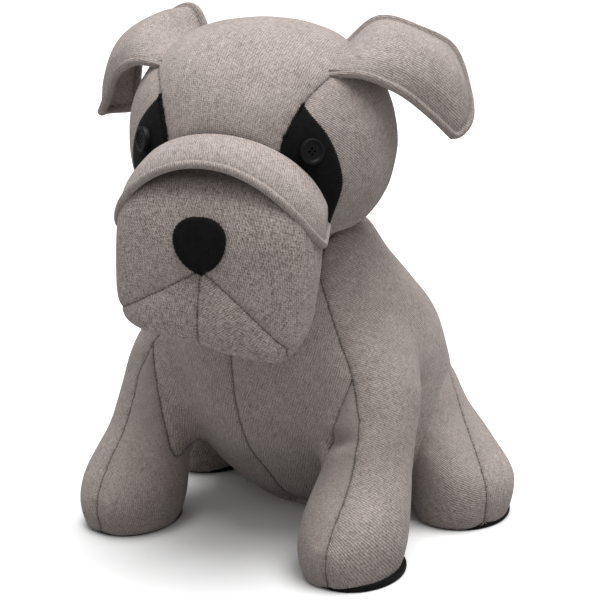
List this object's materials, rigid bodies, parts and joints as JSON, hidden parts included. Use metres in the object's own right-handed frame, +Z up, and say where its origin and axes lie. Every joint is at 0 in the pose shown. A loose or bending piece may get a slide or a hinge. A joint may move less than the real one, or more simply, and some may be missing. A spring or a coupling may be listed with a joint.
{
  "type": "plush dog",
  "caption": "Seated plush dog in heathered grey cloth with a boxy muzzle, brow fold, drooping ears, black felt nose, eye patches and soles.",
  "frame": {"origin": "on the floor, under the middle of the whole dog's bounding box", "axes": "+Z up, the dog's body faces -Y, its left side is +X; the head looks 12 degrees to its left"},
  "size_m": [0.209, 0.2388, 0.2658],
  "materials": {
    "upholstery_cloth": "matte",
    "black_felt": "matte",
    "button_plastic": "satin",
    "fibre_filling": "matte"
  },
  "bodies": {
    "torso": {"torso_filling": "fibre_filling", "base_panel": "upholstery_cloth", "chest_panel_left": "upholstery_cloth", "front_leg_inner_left": "upholstery_cloth", "body_side_left": "upholstery_cloth", "hind_leg_front_left": "upholstery_cloth", "hind_leg_back_left": "upholstery_cloth", "front_sole_left": "black_felt", "hind_sole_left": "black_felt", "front_leg_filling_left": "fibre_filling", "hind_leg_filling_left": "fibre_filling", "chest_panel_right": "upholstery_cloth", "front_leg_inner_right": "upholstery_cloth", "body_side_right": "upholstery_cloth", "hind_leg_front_right": "upholstery_cloth", "hind_leg_back_right": "upholstery_cloth", "front_sole_right": "black_felt", "hind_sole_right": "black_felt", "front_leg_filling_right": "fibre_filling", "hind_leg_filling_right": "fibre_filling"},
    "neck": {"neck_filling": "fibre_filling"},
    "head": {"head_filling": "fibre_filling", "forehead_panel": "upholstery_cloth", "muzzle_panel": "upholstery_cloth", "nose": "black_felt", "chin_panel_left": "upholstery_cloth", "head_side_left": "upholstery_cloth", "eye_patch_left": "black_felt", "eye_button_left": "button_plastic", "chin_panel_right": "upholstery_cloth", "head_side_right": "upholstery_cloth", "eye_patch_right": "black_felt", "eye_button_right": "button_plastic"},
    "brow": {"brow_fold": "upholstery_cloth"},
    "tail": {"tail_cover": "upholstery_cloth", "tail_filling": "fibre_filling"},
    "ear_left": {"ear_upper_left": "upholstery_cloth", "ear_lining_left": "upholstery_cloth"},
    "ear_right": {"ear_upper_right": "upholstery_cloth", "ear_lining_right": "upholstery_cloth"}
  },
  "joints": [
    {"name": "head_turn", "type": "hinge", "parent": "torso", "child": "neck", "pos_m": [0, -0.01697, 0.166], "axis": [0, 0, 1], "range_deg": [-30, 10], "stiffness_Nm_per_rad": 1.5},
    {"name": "head_nod", "type": "hinge", "parent": "neck", "child": "head", "pos_m": [0, -0.01697, 0.166], "axis": [0.9781, 0.2079, 0], "range_deg": [-8, 6], "stiffness_Nm_per_rad": 2.5},
    {"name": "ear_left_flap", "type": "hinge", "parent": "head", "child": "ear_left", "pos_m": [0.04924, -0.02388, 0.249], "axis": [0.3131, -0.9388, -0.1434], "range_deg": [-12, 35], "stiffness_Nm_per_rad": 0.05},
    {"name": "ear_right_flap", "type": "hinge", "parent": "head", "child": "ear_right", "pos_m": [-0.04217, -0.04331, 0.249], "axis": [-0.0958, 0.985, 0.1434], "range_deg": [-12, 35], "stiffness_Nm_per_rad": 0.05},
    {"name": "brow_lift", "type": "hinge", "parent": "head", "child": "brow", "pos_m": [0.01684, -0.0962, 0.216], "axis": [-0.9781, -0.2079, 0], "range_deg": [0, 20], "stiffness_Nm_per_rad": 0.05},
    {"name": "tail_wag", "type": "hinge", "parent": "torso", "child": "tail", "pos_m": [0, 0.10645, 0.086], "axis": [0, 0, 1], "range_deg": [-25, 25], "stiffness_Nm_per_rad": 0.02}
  ]
}
